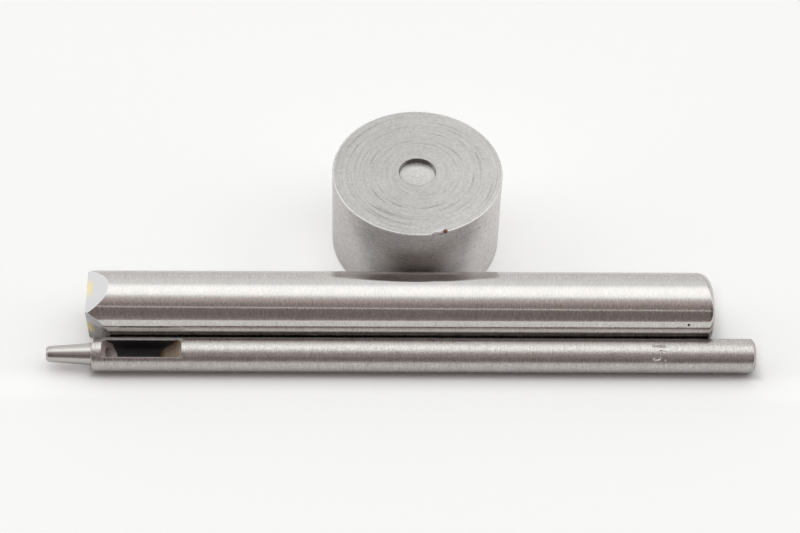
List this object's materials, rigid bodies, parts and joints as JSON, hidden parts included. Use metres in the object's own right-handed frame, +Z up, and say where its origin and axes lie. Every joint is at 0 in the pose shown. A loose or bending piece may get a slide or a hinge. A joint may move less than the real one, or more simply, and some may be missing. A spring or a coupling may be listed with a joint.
{
  "type": "rivet setter set",
  "caption": "Hand rivet setting set: a round recessed anvil, a square-nosed setter rod and a slotted hollow punch.",
  "frame": {"origin": "centre of the anvil's bottom face, on the surface that all three pieces lie on", "axes": "+X along both rods towards their struck ends, +Y from the rods towards the anvil, +Z up along the anvil's axis"},
  "size_m": [0.1218, 0.0477, 0.0175],
  "materials": {
    "turned_steel": "faced and turned bare steel with tool rings",
    "ground_steel": "centreless ground bare steel",
    "punch_steel": "bright drawn bare steel, stained in the milled slot"
  },
  "bodies": {
    "anvil": {"anvil": "turned_steel"},
    "setter": {"setter": "ground_steel"},
    "punch": {"punch": "punch_steel"}
  },
  "joints": [
    {"name": "setter_lift", "type": "slide", "parent": "anvil", "child": "setter", "axis": [0, 0, 1], "range_m": [0, 0.06]},
    {"name": "punch_lift", "type": "slide", "parent": "anvil", "child": "punch", "axis": [0, -0.7071, 0.7071], "range_m": [0, 0.06]}
  ]
}
